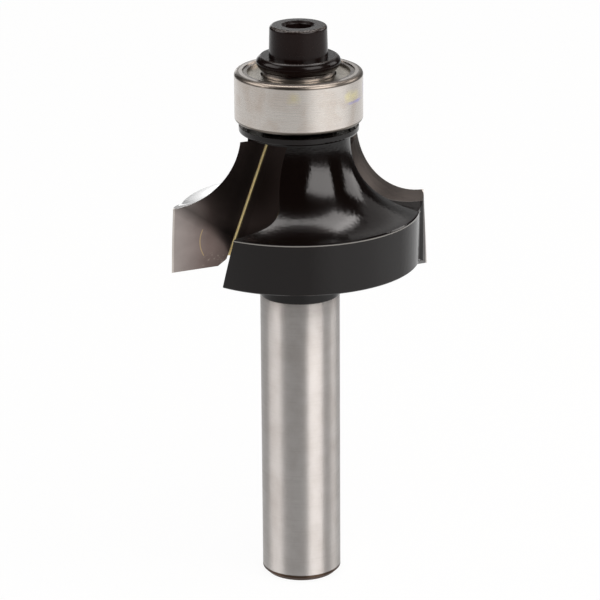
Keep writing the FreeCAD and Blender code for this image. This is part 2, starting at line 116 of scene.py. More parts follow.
cutterBody = {
    "coatEnd": 30.0,           # mm up the axis: below this the shank is ground bright
    "coatEdge": 0.05,          # mm over which the coat ends, each way
    "groundSteel": "b5b1ae",
    "handledSteel": "a8a29e",  # faint smudges where it was handled
    "smudgeSize": 2.6,         # mm
    "smudgeRange": (0.42, 0.75),  # noise, from clean to smudged
    "groundRoughness": (0.35, 0.47),
    "grindLine": 0.16,         # mm between grinding lines, real ones are finer than a pixel
    "anisotropy": 0.95,
    "endChamferShade": "4a3c33",      # painted shade: the end's chamfer is painted dark, as the shaded table under it looks in it
    "endChamferShadeTop": (0.64, 0.7),   # mm up the axis, fading
    "coatColour": "0f0806",
    "coatRoughness": 0.12,
    "coatIor": 1.32,           # fluoropolymer
    "orangePeel": 0.34,        # mm across one ripple of the sprayed coat
    "rippleHeight": 0.014,     # mm
    "rimRadius": 11.97,        # mm
    "rimTop": 38.64,           # mm up the axis, the rim's top edge, where a painted highlight runs
    "rimHighlightBand": (0.1, 0.05),    # mm out and up, each way
    # painted highlight: a thin grey line on the rim's top edge
    "rimEdgeHighlight": "9a9792",
    "reliefRoughness": 0.6,    # steel behind each tip, ground back with it and blackened
    "reliefEdge": (0.02, 0.08),   # mm outside the rim, fading
    "brazeSmear": (-0.14, 0.02),  # mm behind the rake plane: brazing metal run out on the chip space's wall
    "smearFade": 0.04,         # mm
    "headMiddle": 38.2,        # mm up the axis
    "headReach": 8.2,          # mm up and down
    "mist": "8d8783",          # thin mist of spray on the shank under the head
    "mistFrom": 28.2,          # mm up the axis
}


brazeSeam = {
    "alloy": "ffefbc",
    "tarnish": "dcbd7c",
    "tarnishSize": 0.9,        # mm
    "tarnishRange": (0.5, 0.8),   # noise, from bright to tarnished
    "patchHeight": 0.004,      # mm
    "flank": "3b3532",         # where the relief is ground through it
    "flankDepth": (1.92, 1.98),   # mm behind the rake plane, fading
    "roughness": (0.42, 0.62),    # bright, tarnished
    "metallic": 0.35,          # a film of flux dulls its mirror
}


def bodyMaterial():
    # Tool steel. The shank is ground between centres: bright, with lines round it that draw every
    # reflection out along the axis. The head is sprayed with a black non-stick coat and baked: it
    # shines like lacquer, with a faint orange peel, and a thin grey painted highlight runs on the rim's edge.
    settings = cutterBody
    material, tree, place = newMaterial("groundAndCoatedToolSteel")
    axes = addNode(tree, "SeparateXYZ", links={"Vector": place})
    height = axes.outputs["Z"]
    radius = distanceFromAxis(tree, place)
    coated = addNode(
        tree, "MapRange",
        {"From Min": (settings["coatEnd"] - settings["coatEdge"]) * mm,
         "From Max": (settings["coatEnd"] + settings["coatEdge"]) * mm},
        {"Value": height},
    )
    metal = addNode(tree, "Math", {"operation": "SUBTRACT", 0: 1.0}, {1: coated})

    smudge = addNode(
        tree, "TexNoise", {"Scale": 1 / (settings["smudgeSize"] * mm), "Detail": 5.0, "Roughness": 0.6},
        {"Vector": place},
    )
    clean, handled = settings["smudgeRange"]
    smudged = addNode(tree, "MapRange", {"From Min": clean, "From Max": handled}, {"Value": smudge})
    steel = addNode(
        tree, "Mix",
        {"data_type": "RGBA",
         6: linearColour(settings["groundSteel"]), 7: linearColour(settings["handledSteel"])},
        {"Factor": smudged},
    )
    underHead = addNode(
        tree, "MapRange", {"From Min": settings["mistFrom"] * mm, "From Max": settings["coatEnd"] * mm},
        {"Value": height},
    )
    mist = addNode(tree, "Math", {"operation": "MULTIPLY"}, {0: underHead, 1: smudge})
    misted = addNode(
        tree, "Mix", {"data_type": "RGBA", 7: linearColour(settings["mist"])},
        {"Factor": mist, 6: steel.outputs[2]},
    )
    # painted shade: the end's chamfer is darkened for the shaded table it mirrors
    scaled, ground = settings["endChamferShadeTop"]
    chamfer = addNode(
        tree, "MapRange", {"From Min": scaled * mm, "From Max": ground * mm, "To Min": 1.0, "To Max": 0.0},
        {"Value": height},
    )
    shank = addNode(
        tree, "Mix", {"data_type": "RGBA", 7: linearColour(settings["endChamferShade"])},
        {"Factor": chamfer, 6: misted.outputs[2]},
    )

    # painted highlight: a thin grey line painted along the rim's top edge
    highlightOut, highlightUp = settings["rimHighlightBand"]
    atRim = addNode(
        tree, "Math", {"operation": "COMPARE", 1: settings["rimRadius"] * mm, 2: highlightOut * mm}, {0: radius},
    )
    atTop = addNode(
        tree, "Math", {"operation": "COMPARE", 1: settings["rimTop"] * mm, 2: highlightUp * mm}, {0: height},
    )
    rimHighlight = addNode(tree, "Math", {"operation": "MULTIPLY"}, {0: atRim, 1: atTop})
    coat = addNode(
        tree, "Mix",
        {"data_type": "RGBA", 6: linearColour(settings["coatColour"]), 7: linearColour(settings["rimEdgeHighlight"])},
        {"Factor": rimHighlight},
    )
    colour = addNode(
        tree, "Mix", {"data_type": "RGBA"}, {"Factor": coated, 6: shank.outputs[2], 7: coat.outputs[2]},
    )

    smearStart, smearEnd = settings["brazeSmear"]
    started = behindRake(tree, place, smearStart, smearStart + settings["smearFade"])
    ended = behindRake(tree, place, smearEnd, smearEnd + settings["smearFade"])
    within = addNode(tree, "Math", {"operation": "SUBTRACT"}, {0: started, 1: ended})
    corner = addNode(tree, "Math", {"operation": "MULTIPLY"}, {0: axes.outputs["X"], 1: axes.outputs["Y"]})
    atWing = addNode(tree, "Math", {"operation": "LESS_THAN", 1: 0.0}, {0: corner})
    smear = addNode(tree, "Math", {"operation": "MULTIPLY"}, {0: within, 1: atWing})
    onHead = addNode(
        tree, "Math", {"operation": "COMPARE", 1: settings["headMiddle"] * mm, 2: settings["headReach"] * mm},
        {0: height},
    )
    smearOnHead = addNode(tree, "Math", {"operation": "MULTIPLY"}, {0: smear, 1: onHead})
    brazed = addNode(
        tree, "Mix", {"data_type": "RGBA", 7: linearColour(brazeSeam["alloy"])},
        {"Factor": smearOnHead, 6: colour.outputs[2]},
    )

    lines = addNode(
        tree, "TexNoise",
        {"noise_dimensions": "1D", "Scale": 1 / (settings["grindLine"] * mm), "Detail": 3.0}, {"W": height},
    )
    smooth, rough = settings["groundRoughness"]
    shankRoughness = addNode(
        tree, "MapRange",
        {"From Min": noiseLow, "From Max": noiseHigh, "To Min": smooth, "To Max": rough}, {"Value": lines},
    )
    reliefStart, reliefFull = [settings["rimRadius"] + outside for outside in settings["reliefEdge"]]
    headRoughness = addNode(
        tree, "MapRange",
        {"From Min": reliefStart * mm, "From Max": reliefFull * mm,
         "To Min": settings["coatRoughness"], "To Max": settings["reliefRoughness"]},
        {"Value": radius},
    )
    roughness = addNode(
        tree, "Mix", {"data_type": "FLOAT"}, {"Factor": coated, "A": shankRoughness, "B": headRoughness},
    )

    ripples = addNode(
        tree, "TexNoise", {"Scale": 1 / (settings["orangePeel"] * mm), "Detail": 2.0}, {"Vector": place},
    )
    ripple = addNode(tree, "Math", {"operation": "MULTIPLY"}, {0: ripples, 1: coated})
    bump = addNode(
        tree, "Bump", {"Distance": settings["rippleHeight"] * mm, "Strength": 1.0}, {"Height": ripple},
    )
    tangent = addNode(tree, "Tangent", {"direction_type": "RADIAL", "axis": "Z"})
    finishMaterial(tree, addNode(
        tree, "BsdfPrincipled",
        {"IOR": settings["coatIor"],
         "Anisotropic": settings["anisotropy"], "Anisotropic Rotation": quarterTurn},
        {"Base Color": brazed.outputs[2], "Metallic": metal, "Roughness": roughness.outputs[0],
         "Normal": bump, "Tangent": tangent},
    ))
    return material


dress(bodyMaterial(), "cutter_body")
print("cutter body: ground shank, coated head")


carbideTip = {
    "lapped": "9a918d",        # rake face
    "relieved": "3a3532",      # cove and side behind the edge, painted darker than the rake: painted shade
    "rakeEdge": (0.01, 0.05),  # mm behind the rake plane, from lapped to relieved
    "darkReflected": "62504b",        # painted reflection: the rake is painted darker towards the braze
    "darkReflectionFrom": 12.0,        # mm out from the axis, full at darkReflectionTo
    "darkReflectionTo": 8.6,
    "darkReflectionShare": 0.75,
    "darkReflectionBand": (9.4, 38.35),  # mm out and up: middle of the darkest band of the painted reflection, which runs aslant
    "darkReflectionBandRise": 1.4,       # mm out per mm up
    "darkReflectionBandReach": 1.9,      # mm out each side
    "darkReflectionBandShare": 0.55,
    "edgeHighlight": "c4bdb7",         # painted highlight: a narrow lighter line along the cutting edge
    "edgeHighlightFrom": (12.6, 12.7), # mm out from the axis, fading
    "lappedRoughness": 0.3,
    "relievedRoughness": 0.45,
    "wheelLine": 0.12,         # mm between the wheel's lines, the real diamond grit is finer
    "lineStretch": (0.06, 0.06, 1.0),  # they run level
    "lineUneven": (0.94, 1.06),   # times the roughness
    "lineDepth": 0.0004,       # mm
    "cloudSize": 3.0,          # mm across a patch of tone
    "cloudTone": (0.86, 1.12), # times the colour
    "stain": "cbb07a",         # dried brazing flux: one thin curved line
    "stainPlace": (9.38, 35.5),   # mm out from the axis and up it
    "stainBend": (0.126, -0.160), # mm out per mm up, and per mm squared
    "stainWidth": 0.055,       # mm each side of its middle
    "stainReach": 1.5,         # mm up and down
    "stainShare": 0.45,
    "flecks": "c9bfb2",        # beads of flux near the foot of the braze
    "fleckSize": 0.35,         # mm
    "fleckRange": (0.58, 0.7), # noise, from none to full
    "fleckShare": 0.3,
    "fleckTop": (33.5, 34.5),  # mm up the axis, fading
    "fleckOut": (8.2, 9.2),    # mm out from the axis, fading
}


def carbideMaterial():
    # Tungsten carbide with cobalt: dull silver grey, a little brown. The rake face is lapped smooth, so
    # it mirrors the head softly; the relieved faces are ground with a coarser wheel and stay satin.
    settings = carbideTip
    material, tree, place = newMaterial("lappedTungstenCarbide")
    relieved = behindRake(tree, place, *settings["rakeEdge"])
    folded = addNode(tree, "VectorMath", {"operation": "ABSOLUTE"}, {0: place})
    axes = addNode(tree, "SeparateXYZ", links={"Vector": folded})

    clouds = addNode(
        tree, "TexNoise", {"Scale": 1 / (settings["cloudSize"] * mm), "Detail": 3.0}, {"Vector": place},
    )
    dark, light = settings["cloudTone"]
    tone = addNode(
        tree, "MapRange",
        {"From Min": noiseLow, "From Max": noiseHigh, "To Min": dark, "To Max": light}, {"Value": clouds},
    )
    # painted shade: the relieved faces get a darker copy of the carbide's colour
    base = addNode(
        tree, "Mix",
        {"data_type": "RGBA", 6: linearColour(settings["lapped"]), 7: linearColour(settings["relieved"])},
        {"Factor": relieved},
    )
    # painted reflection: the rake darkens towards the braze
    darkReflection = addNode(
        tree, "MapRange",
        {"From Min": settings["darkReflectionTo"] * mm, "From Max": settings["darkReflectionFrom"] * mm,
         "To Min": settings["darkReflectionShare"], "To Max": 0.0},
        {"Value": axes.outputs["X"]},
    )
    onRake = addNode(tree, "Math", {"operation": "SUBTRACT", 0: 1.0}, {1: relieved})
    rakeDarkReflection = addNode(tree, "Math", {"operation": "MULTIPLY"}, {0: darkReflection, 1: onRake})
    darkReflected = addNode(
        tree, "Mix", {"data_type": "RGBA", 7: linearColour(settings["darkReflected"])},
        {"Factor": rakeDarkReflection, 6: base.outputs[2]},
    )
    radius = distanceFromAxis(tree, place)
    # painted highlight: a lighter line along the cutting edge
    lapped, highlightFull = settings["edgeHighlightFrom"]
    edgeHighlightMask = addNode(
        tree, "MapRange", {"From Min": lapped * mm, "From Max": highlightFull * mm}, {"Value": radius},
    )
    edgeHighlight = addNode(
        tree, "Mix", {"data_type": "RGBA", 7: linearColour(settings["edgeHighlight"])},
        {"Factor": edgeHighlightMask, 6: darkReflected.outputs[2]},
    )
    # painted reflection: an aslant dark band across the rake
    bandOut, bandUp = settings["darkReflectionBand"]
    rise = settings["darkReflectionBandRise"]
    acrossBand = addNode(
        tree, "Math", {"operation": "MULTIPLY_ADD", 1: -rise}, {0: axes.outputs["Z"], 2: axes.outputs["X"]},
    )
    fromBand = addNode(
        tree, "Math", {"operation": "SUBTRACT", 1: (bandOut - rise * bandUp) * mm}, {0: acrossBand},
    )
    bandDistance = addNode(tree, "Math", {"operation": "ABSOLUTE"}, {0: fromBand})
    band = addNode(
        tree, "MapRange",
        {"From Min": 0.0, "From Max": settings["darkReflectionBandReach"] * mm,
         "To Min": settings["darkReflectionBandShare"], "To Max": 0.0},
        {"Value": bandDistance},
    )
    bandOnRake = addNode(tree, "Math", {"operation": "MULTIPLY"}, {0: band, 1: onRake})
    dimmed = addNode(tree, "Math", {"operation": "SUBTRACT", 0: 1.0}, {1: bandOnRake})
    shade = addNode(tree, "Math", {"operation": "MULTIPLY"}, {0: tone, 1: dimmed})
    toned = addNode(tree, "VectorMath", {"operation": "SCALE"}, {0: edgeHighlight.outputs[2], "Scale": shade})

    out, up = settings["stainPlace"]
    slope, bend = settings["stainBend"]
    above = addNode(tree, "Math", {"operation": "SUBTRACT", 1: up * mm}, {0: axes.outputs["Z"]})
    bent = addNode(tree, "Math", {"operation": "MULTIPLY_ADD", 1: bend / mm, 2: slope}, {0: above})
    shift = addNode(tree, "Math", {"operation": "MULTIPLY_ADD", 2: out * mm}, {0: bent, 1: above})
    aside = addNode(tree, "Math", {"operation": "SUBTRACT"}, {0: axes.outputs["X"], 1: shift})
    onLine = addNode(tree, "Math", {"operation": "COMPARE", 1: 0.0, 2: settings["stainWidth"] * mm}, {0: aside})
    inReach = addNode(
        tree, "Math", {"operation": "COMPARE", 1: 0.0, 2: settings["stainReach"] * mm}, {0: above},
    )
    stained = addNode(tree, "Math", {"operation": "MULTIPLY"}, {0: onLine, 1: inReach})
    faded = addNode(tree, "Math", {"operation": "MULTIPLY", 1: settings["stainShare"]}, {0: stained})
    withStain = addNode(
        tree, "Mix", {"data_type": "RGBA", 7: linearColour(settings["stain"])}, {"Factor": faded, 6: toned},
    )

    beads = addNode(
        tree, "TexNoise", {"Scale": 1 / (settings["fleckSize"] * mm), "Detail": 2.0}, {"Vector": place},
    )
    start, full = settings["fleckRange"]
    bead = addNode(
        tree, "MapRange", {"From Min": start, "From Max": full, "To Max": settings["fleckShare"]},
        {"Value": beads},
    )
    near, far = settings["fleckTop"]
    low = addNode(
        tree, "MapRange", {"From Min": near * mm, "From Max": far * mm, "To Min": 1.0, "To Max": 0.0},
        {"Value": axes.outputs["Z"]},
    )
    near, far = settings["fleckOut"]
    nearBraze = addNode(
        tree, "MapRange", {"From Min": near * mm, "From Max": far * mm, "To Min": 1.0, "To Max": 0.0},
        {"Value": axes.outputs["X"]},
    )
    area = addNode(tree, "Math", {"operation": "MULTIPLY"}, {0: low, 1: nearBraze})
    flecked = addNode(tree, "Math", {"operation": "MULTIPLY"}, {0: bead, 1: area})
    colour = addNode(
        tree, "Mix", {"data_type": "RGBA", 7: linearColour(settings["flecks"])},
        {"Factor": flecked, 6: withStain.outputs[2]},
    )

    stretched = addNode(tree, "Mapping", {"Scale": settings["lineStretch"]}, {"Vector": place})
    lines = addNode(
        tree, "TexNoise", {"Scale": 1 / (settings["wheelLine"] * mm), "Detail": 3.0}, {"Vector": stretched},
    )
    finish = addNode(
        tree, "MapRange",
        {"To Min": settings["lappedRoughness"], "To Max": settings["relievedRoughness"]}, {"Value": relieved},
    )
    smoother, rougher = settings["lineUneven"]
    uneven = addNode(
        tree, "MapRange",
        {"From Min": noiseLow, "From Max": noiseHigh, "To Min": smoother, "To Max": rougher}, {"Value": lines},
    )
    roughness = addNode(tree, "Math", {"operation": "MULTIPLY"}, {0: finish, 1: uneven})
    bump = addNode(tree, "Bump", {"Distance": settings["lineDepth"] * mm, "Strength": 1.0}, {"Height": lines})
    finishMaterial(tree, addNode(
        tree, "BsdfPrincipled", {"Metallic": 1.0},
        {"Base Color": colour.outputs[2], "Roughness": roughness, "Normal": bump},
    ))
    return material


dress(carbideMaterial(), "carbide_tip_1", "carbide_tip_2")
print("carbide tips: lapped rake faces, ground relief")


def brazeMaterial():
    # Silver brazing alloy with copper: pale gold where it flowed out along the tip, tarnished in
    # patches and wire brushed to a satin. On the ground flank it is only a dark hairline.
    settings = brazeSeam
    material, tree, place = newMaterial("brushedSilverBraze")
    patches = addNode(
        tree, "TexNoise", {"Scale": 1 / (settings["tarnishSize"] * mm), "Detail": 4.0}, {"Vector": place},
    )
    bright, tarnished = settings["tarnishRange"]
    dull = addNode(tree, "MapRange", {"From Min": bright, "From Max": tarnished}, {"Value": patches})
    seam = addNode(
        tree, "Mix",
        {"data_type": "RGBA", 6: linearColour(settings["alloy"]), 7: linearColour(settings["tarnish"])},
        {"Factor": dull},
    )
    onFlank = behindRake(tree, place, *settings["flankDepth"])
    colour = addNode(
        tree, "Mix", {"data_type": "RGBA", 7: linearColour(settings["flank"])},
        {"Factor": onFlank, 6: seam.outputs[2]},
    )
    smooth, rough = settings["roughness"]
    roughness = addNode(tree, "MapRange", {"To Min": smooth, "To Max": rough}, {"Value": dull})
    bump = addNode(
        tree, "Bump", {"Distance": settings["patchHeight"] * mm, "Strength": 1.0}, {"Height": patches},
    )
    finishMaterial(tree, addNode(
        tree, "BsdfPrincipled", {"Metallic": settings["metallic"]},
        {"Base Color": colour.outputs[2], "Roughness": roughness, "Normal": bump},
    ))
    return material


dress(brazeMaterial(), "braze_1", "braze_2")
print("brazing: gold seams")


bearingRing = {
    "steel": "c2bcb6",
    "fingered": "ab9a8c",      # thin oil film, brownish
    "filmSize": 2.2,           # mm
    "filmRange": (0.45, 0.7),  # noise, from dry to filmed
    "filmShare": 0.42,
    "roughness": (0.245, 0.295),
    "anisotropy": 0.4,
    "grindLine": 0.14,         # mm, coarser than the real ones
    "corner": "6e6760",        # the rounded corners: unground, and painted darker still as painted shade that dims their highlight
    "cornerRoughness": 0.34,
    "innerLand": 4.0,          # mm radius: within it the inner ring, rougher, and painted darker as shade under the washer
    "innerShadedSteel": "8f8780",
    "innerRoughness": 0.36,
    "middleHeight": 50.5,      # mm up the axis
    "cornerFrom": (2.09, 2.15),   # mm above and below the middle, fading
    "outerLand": 5.9,          # mm radius
    "tintRag": 0.9,            # mm across the rags of a tint's edge
    "tintFray": 1.4,           # how far they stand out
    "tintFade": (0.9, 1.7),    # distance with the rags, from full to none, in reaches
    # oxide tints from the grinder on the front of the outer ring: colour, middle and reach in mm, strength
    "tints": [
        ("dad1a2", (3.3, -5.4, 51.3), (1.5, 1.5, 0.8), 0.75),
        ("9b96cc", (3.9, -5.0, 50.65), (1.9, 1.9, 0.22), 0.75),
        ("9c93d2", (5.5, -3.2, 51.3), (0.35, 0.5, 1.1), 0.7),
        ("cfc391", (-3.1, -5.5, 51.7), (0.8, 0.8, 0.8), 0.4),
    ],
}


def ringMaterial():
    # Bearing steel, ground and polished on its outside: lines round it draw the light out along the
    # axis. Oil has dried on it in faint brown clouds, and a few spots have oxide tints from the grinder.
    settings = bearingRing
    material, tree, place = newMaterial("groundBearingSteel")
    height = addNode(tree, "SeparateXYZ", links={"Vector": place}).outputs["Z"]
    clouds = addNode(
        tree, "TexNoise", {"Scale": 1 / (settings["filmSize"] * mm), "Detail": 4.0, "Distortion": 0.6},
        {"Vector": place},
    )
    dry, filmed = settings["filmRange"]
    film = addNode(
        tree, "MapRange", {"From Min": dry, "From Max": filmed, "To Max": settings["filmShare"]},
        {"Value": clouds},
    )
    steel = addNode(
        tree, "Mix",
        {"data_type": "RGBA", 6: linearColour(settings["steel"]), 7: linearColour(settings["fingered"])},
        {"Factor": film},
    )
    fromMiddle = addNode(tree, "Math", {"operation": "SUBTRACT", 1: settings["middleHeight"] * mm}, {0: height})
    towardsEnd = addNode(tree, "Math", {"operation": "ABSOLUTE"}, {0: fromMiddle})
    land, rounded = settings["cornerFrom"]
    atEnd = addNode(
        tree, "MapRange", {"From Min": land * mm, "From Max": rounded * mm}, {"Value": towardsEnd},
    )
    radius = distanceFromAxis(tree, place)
    outside = addNode(tree, "Math", {"operation": "GREATER_THAN", 1: settings["outerLand"] * mm}, {0: radius})
    corner = addNode(tree, "Math", {"operation": "MULTIPLY"}, {0: atEnd, 1: outside})
    # painted shade: the rounded corners darker, partly their real unground finish
    ring = addNode(
        tree, "Mix", {"data_type": "RGBA", 7: linearColour(settings["corner"])},
        {"Factor": corner, 6: steel.outputs[2]},
    )
    # painted shade: the inner ring is painted darker, in the washer's shade
    inner = addNode(tree, "Math", {"operation": "LESS_THAN", 1: settings["innerLand"] * mm}, {0: radius})
    rings = addNode(
        tree, "Mix", {"data_type": "RGBA", 7: linearColour(settings["innerShadedSteel"])},
        {"Factor": inner, 6: ring.outputs[2]},
    )
    colour = rings.outputs[2]
    rags = addNode(
        tree, "TexNoise", {"Scale": 1 / (settings["tintRag"] * mm), "Detail": 3.0}, {"Vector": place},
    )
    full, none = settings["tintFade"]
    for code, middle, reach, share in settings["tints"]:
        spread = Vector([1 / (size * mm) for size in reach])
        moved = addNode(tree, "VectorMath", {"operation": "SUBTRACT", 1: Vector(middle) * mm}, {0: place})
        scaled = addNode(tree, "VectorMath", {"operation": "MULTIPLY", 1: spread}, {0: moved})
        distance = addNode(tree, "VectorMath", {"operation": "LENGTH"}, {0: scaled}).outputs["Value"]
        frayed = addNode(
            tree, "Math", {"operation": "MULTIPLY_ADD", 1: settings["tintFray"]}, {0: rags, 2: distance},
        )
        strength = addNode(
            tree, "MapRange", {"From Min": full, "From Max": none, "To Min": share, "To Max": 0.0},
            {"Value": frayed},
        )
        tinted = addNode(
            tree, "Mix", {"data_type": "RGBA", 7: linearColour(code)}, {"Factor": strength, 6: colour},
        )
        colour = tinted.outputs[2]
    lines = addNode(
        tree, "TexNoise",
        {"noise_dimensions": "1D", "Scale": 1 / (settings["grindLine"] * mm), "Detail": 3.0}, {"W": height},
    )
    smooth, rough = settings["roughness"]
    ground = addNode(
        tree, "MapRange",
        {"From Min": noiseLow, "From Max": noiseHigh, "To Min": smooth, "To Max": rough}, {"Value": lines},
    )
    tumbled = addNode(
        tree, "Mix", {"data_type": "FLOAT", "B": settings["cornerRoughness"]}, {"Factor": corner, "A": ground},
    )
    roughness = addNode(
        tree, "Mix", {"data_type": "FLOAT", "B": settings["innerRoughness"]},
        {"Factor": inner, "A": tumbled.outputs[0]},
    )
    tangent = addNode(tree, "Tangent", {"direction_type": "RADIAL", "axis": "Z"})
    finishMaterial(tree, addNode(
        tree, "BsdfPrincipled",
        {"Metallic": 1.0, "Anisotropic": settings["anisotropy"], "Anisotropic Rotation": quarterTurn},
        {"Base Color": colour, "Roughness": roughness.outputs[0], "Tangent": tangent},
    ))
    return material


dress(ringMaterial(), "bearing_outer_ring", "bearing_inner_ring")
print("bearing rings: ground steel")


bearingShield = {
    "sheet": "bcb6ac",
    "film": "a29b8e",
    "filmSize": 1.1,           # mm
    "roughness": (0.24, 0.36),
    "drawMark": 0.1,           # mm across the faint marks from the press tool
    "markDepth": 0.001,        # mm
}


def shieldMaterial():
    # Tin-plated sheet steel, pressed: satin and a warm light grey, with cloudy plating.
    settings = bearingShield
    material, tree, place = newMaterial("pressedTinnedSheet")
    clouds = addNode(
        tree, "TexNoise", {"Scale": 1 / (settings["filmSize"] * mm), "Detail": 4.0}, {"Vector": place},
    )
    colour = addNode(
        tree, "Mix",
        {"data_type": "RGBA", 6: linearColour(settings["sheet"]), 7: linearColour(settings["film"])},
        {"Factor": clouds},
    )
    marks = addNode(
        tree, "TexNoise", {"Scale": 1 / (settings["drawMark"] * mm), "Detail": 2.0}, {"Vector": place},
    )
    smooth, rough = settings["roughness"]
    roughness = addNode(
        tree, "MapRange",
        {"From Min": noiseLow, "From Max": noiseHigh, "To Min": smooth, "To Max": rough}, {"Value": marks},
    )
    bump = addNode(tree, "Bump", {"Distance": settings["markDepth"] * mm, "Strength": 1.0}, {"Height": marks})
    finishMaterial(tree, addNode(
        tree, "BsdfPrincipled", {"Metallic": 1.0},
        {"Base Color": colour.outputs[2], "Roughness": roughness, "Normal": bump},
    ))
    return material


dress(shieldMaterial(), "bearing_shield_upper", "bearing_shield_lower")


snapRing = {
    "wire": "8c857d",
    "bloom": "5f5a5c",
    "bloomSize": 1.6,          # mm
    "bloomRange": (0.4, 0.7),  # noise, from bright to bloomed
    "roughness": (0.2, 0.35),  # bright, bloomed
}


def springMaterial():
    # Spring wire, hardened and tempered: grey and shiny, with a darker bloom of oxide in places.
    settings = snapRing
    material, tree, place = newMaterial("temperedSpringWire")
    bloom = addNode(
        tree, "TexNoise", {"Scale": 1 / (settings["bloomSize"] * mm), "Detail": 3.0}, {"Vector": place},
    )
    bright, bloomed = settings["bloomRange"]
    share = addNode(tree, "MapRange", {"From Min": bright, "From Max": bloomed}, {"Value": bloom})
    colour = addNode(
        tree, "Mix",
        {"data_type": "RGBA", 6: linearColour(settings["wire"]), 7: linearColour(settings["bloom"])},
        {"Factor": share},
    )
    smooth, rough = settings["roughness"]
    roughness = addNode(tree, "MapRange", {"To Min": smooth, "To Max": rough}, {"Value": share})
    finishMaterial(tree, addNode(
        tree, "BsdfPrincipled", {"Metallic": 1.0},
        {"Base Color": colour.outputs[2], "Roughness": roughness},
    ))
    return material


dress(springMaterial(), "snap_ring_upper", "snap_ring_lower")
print("shields and snap rings: pressed sheet, spring wire")


bearingCage = {
    "nylon": "d8cfba",
    "flow": "c4b99f",
    "flowSize": 1.5,           # mm
    "roughness": (0.37, 0.53),
    "ior": 1.53,
}


def nylonMaterial():
    # Moulded nylon, undyed: creamy, with faint flow marks.
    settings = bearingCage
    material, tree, place = newMaterial("mouldedNylon")
    flow = addNode(
        tree, "TexNoise", {"Scale": 1 / (settings["flowSize"] * mm), "Detail": 3.0, "Distortion": 1.0},
        {"Vector": place},
    )
    colour = addNode(
        tree, "Mix",
        {"data_type": "RGBA", 6: linearColour(settings["nylon"]), 7: linearColour(settings["flow"])},
        {"Factor": flow},
    )
    smooth, rough = settings["roughness"]
    roughness = addNode(tree, "MapRange", {"To Min": smooth, "To Max": rough}, {"Value": flow})
    finishMaterial(tree, addNode(
        tree, "BsdfPrincipled", {"IOR": settings["ior"]},
        {"Base Color": colour.outputs[2], "Roughness": roughness},
    ))
    return material


bearingBalls = {
    "steel": "d8d8d8",
    "oiled": "cfc9b8",
    "oilSize": 0.6,            # mm
    "roughness": (0.05, 0.13), # dry, oiled
}


def ballMaterial():
    # Chrome steel balls, lapped to a mirror, with a smear of light oil.
    settings = bearingBalls
    material, tree, place = newMaterial("lappedBallSteel")
    smear = addNode(
        tree, "TexNoise", {"Scale": 1 / (settings["oilSize"] * mm), "Detail": 3.0}, {"Vector": place},
    )
    colour = addNode(
        tree, "Mix",
        {"data_type": "RGBA", 6: linearColour(settings["steel"]), 7: linearColour(settings["oiled"])},
        {"Factor": smear},
    )
    smooth, rough = settings["roughness"]
    roughness = addNode(tree, "MapRange", {"To Min": smooth, "To Max": rough}, {"Value": smear})
    finishMaterial(tree, addNode(
        tree, "BsdfPrincipled", {"Metallic": 1.0},
        {"Base Color": colour.outputs[2], "Roughness": roughness},
    ))
    return material


dress(nylonMaterial(), "bearing_cage")
dress(ballMaterial(), *[name for name in nodes if name.startswith("bearing_ball")])
print("cage and balls: nylon, lapped steel")


bearingWasher = {
    "name": "blackenedWasherSteel",
    "oxide": "170d0b",
    "bareSteelGlint": "57504c",          # steel through the oxide on the edge, made light as painted glints
    "roughness": (0.15, 0.25),
    "oxideGrain": 0.16,        # mm, far coarser than the real crystals
    "speckRange": (0.45, 0.6), # noise, from black to rubbed bare with painted glints
    "grainHeight": 0.001,      # mm
    "gloss": 0.12,
    "edgeTop": (3.75, 54.5),   # mm radius and height of the edge that rubs bare and carries painted glints
    "edgeReach": 0.1,          # mm
}
capScrew = {
    "name": "blackenedScrewSteel",
    "oxide": "1e1210",
    # painted glints with rubbed steel on the head's top edge
    "bareSteelGlint": "6a625d",
    "roughness": (0.19, 0.29),
    "oxideGrain": 0.2,
    "speckRange": (0.45, 0.6),
    "grainHeight": 0.0015,
    "gloss": 0.17,
    "edgeTop": (2.66, 57.47),
    "edgeReach": 0.14,
}


